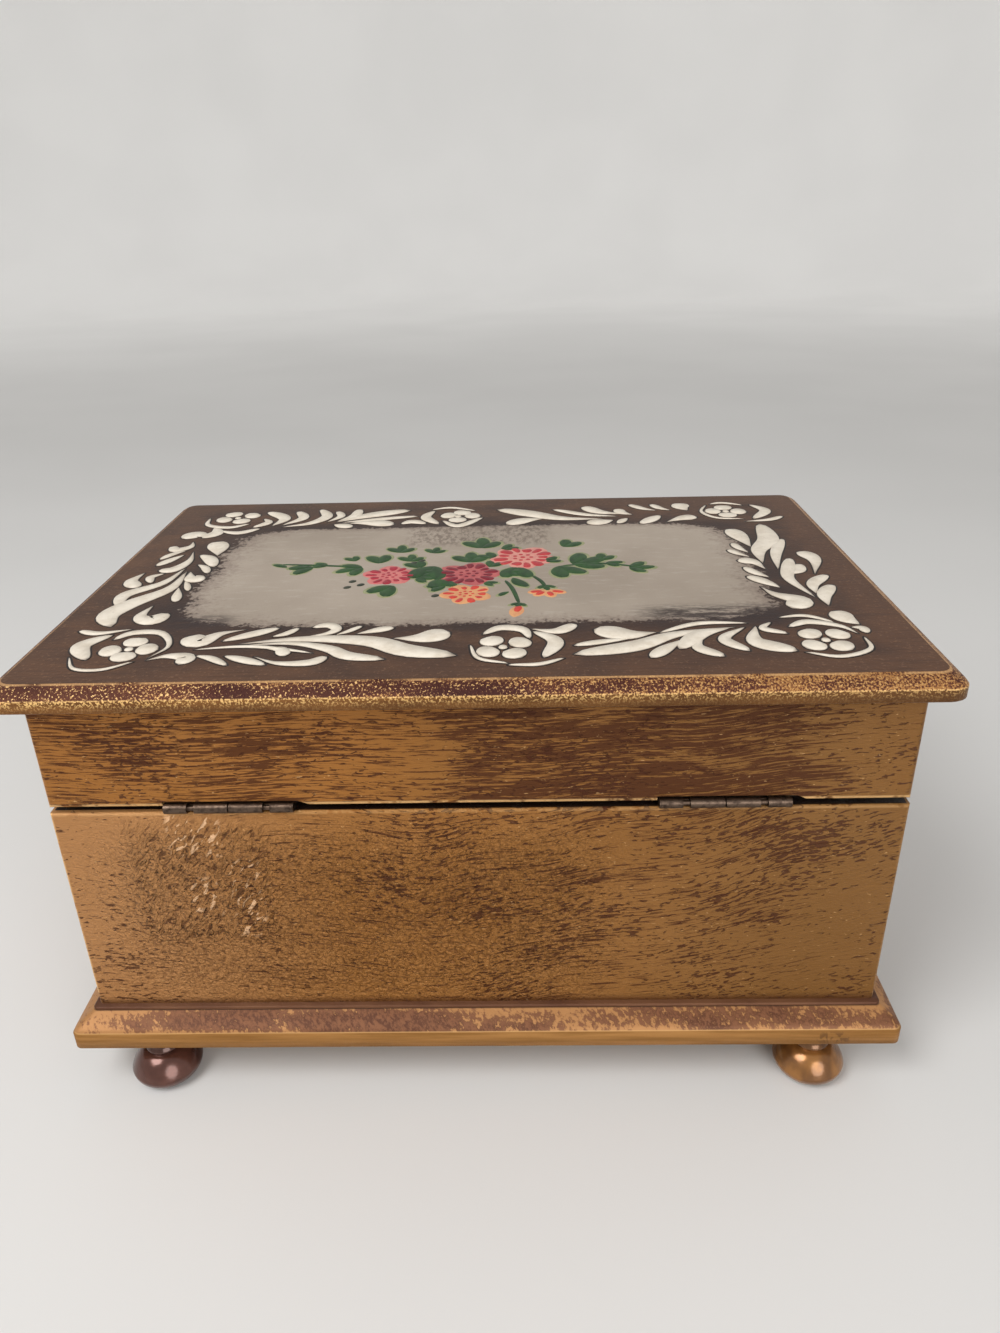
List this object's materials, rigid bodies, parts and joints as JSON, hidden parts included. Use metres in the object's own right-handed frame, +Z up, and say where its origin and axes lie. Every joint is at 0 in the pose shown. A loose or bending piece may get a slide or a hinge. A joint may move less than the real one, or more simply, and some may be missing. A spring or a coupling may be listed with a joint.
{
  "type": "musical jewelry box",
  "caption": "Lidded wooden jewellery box on bun feet, with a hinged mirrored lid, lined rooms, ring rolls and a key-wound musical movement under a clear cover.",
  "frame": {"origin": "middle of the footprint, on the surface that the feet stand on", "axes": "+Z up, +X along the width, -Y towards the side that opens, +Y towards the hinges"},
  "size_m": [0.2444, 0.1734, 0.1361],
  "materials": {
    "case_gilt": "antique gold glaze over wood, dark streaks",
    "moulding": "purple-brown glaze rubbed through to gold",
    "lid_top": "dark brown with cream raised strokes",
    "turned_wood": "glossy copper-brown lacquer",
    "hinge_metal": "dark bronzed steel",
    "velvet": "short-pile velvet over board",
    "plain_wood": "plain wood",
    "felt": "felt",
    "clear_plastic": "clear acrylic",
    "mirror": "silvered glass",
    "frame_gilt": "satin antique gold",
    "cast_metal": "cast zinc, satin",
    "brass": "polished brass",
    "steel": "polished steel",
    "dark_plastic": "moulded plastic"
  },
  "bodies": {
    "case": {"back_panel": "case_gilt", "base_plate": "moulding", "bedplate": "cast_metal", "bumper_left": "felt", "bumper_right": "felt", "clear_cover": "clear_plastic", "cleat_left": "plain_wood", "cleat_right": "plain_wood", "comb": "steel", "cylinder_cock": "cast_metal", "divider_front": "velvet", "divider_long": "velvet", "divider_music": "velvet", "divider_ring": "velvet", "floor_pad_left": "velvet", "floor_pad_right": "velvet", "floor_pad_square": "velvet", "foot_back_left": "turned_wood", "foot_back_right": "turned_wood", "foot_front_left": "turned_wood", "foot_front_right": "turned_wood", "front_panel": "case_gilt", "governor_frame": "cast_metal", "hinge_left_case_leaf": "hinge_metal", "hinge_left_pin": "hinge_metal", "hinge_right_case_leaf": "hinge_metal", "hinge_right_pin": "hinge_metal", "left_panel": "case_gilt", "lining_back": "velvet", "lining_front": "velvet", "lining_left": "velvet", "lining_right": "velvet", "right_panel": "case_gilt", "ring_roll_1": "velvet", "ring_roll_2": "velvet", "ring_roll_3": "velvet", "ring_roll_4": "velvet", "spring_barrel": "steel"},
    "lid": {"lid_plate": "lid_top", "rim_front": "case_gilt", "rim_back": "case_gilt", "rim_left": "case_gilt", "rim_right": "case_gilt", "hinge_left_lid_leaf": "hinge_metal", "hinge_right_lid_leaf": "hinge_metal", "lid_lining": "velvet", "mirror_glass": "mirror", "mirror_frame": "frame_gilt"},
    "cylinder": {"music_cylinder": "brass", "cylinder_arbor": "steel", "cylinder_gear": "brass"},
    "second_wheel": {"second_pinion": "steel", "worm_wheel": "brass"},
    "governor": {"governor_worm": "steel", "air_brake": "dark_plastic"},
    "key": {"key_arbor": "steel", "contrate_wheel": "brass", "winding_key": "steel"},
    "stop": {"stop_wire": "steel"}
  },
  "joints": [
    {"name": "lid_hinge", "type": "hinge", "parent": "case", "child": "lid", "pos_m": [0, 0.07665, 0.0966], "axis": [-1, 0, 0], "range_deg": [0, 100]},
    {"name": "cylinder_spin", "type": "hinge", "parent": "case", "child": "cylinder", "pos_m": [-0.08, 0.0395, 0.0405], "axis": [1, 0, 0], "continuous": true},
    {"name": "key_turn", "type": "hinge", "parent": "case", "child": "key", "pos_m": [-0.05805, 0.0395, 0], "axis": [0, 0, 1], "continuous": true},
    {"name": "second_spin", "type": "hinge", "parent": "case", "child": "second_wheel", "pos_m": [-0.09, 0.0485, 0.0405], "axis": [1, 0, 0], "continuous": true},
    {"name": "governor_spin", "type": "hinge", "parent": "case", "child": "governor", "pos_m": [-0.09195, 0.05318, 0.0405], "axis": [0, 0, 1], "continuous": true},
    {"name": "stop_rise", "type": "slide", "parent": "case", "child": "stop", "axis": [0, 0, 1], "range_m": [0, 0.004]}
  ],
  "couplings": [
    {"joint": "key_turn", "follows": "cylinder_spin", "ratio": -0.25},
    {"joint": "second_spin", "follows": "cylinder_spin", "ratio": -4},
    {"joint": "governor_spin", "follows": "cylinder_spin", "ratio": 80},
    {"joint": "stop_rise", "follows": "lid_hinge", "m_per_rad": 0.00229}
  ]
}
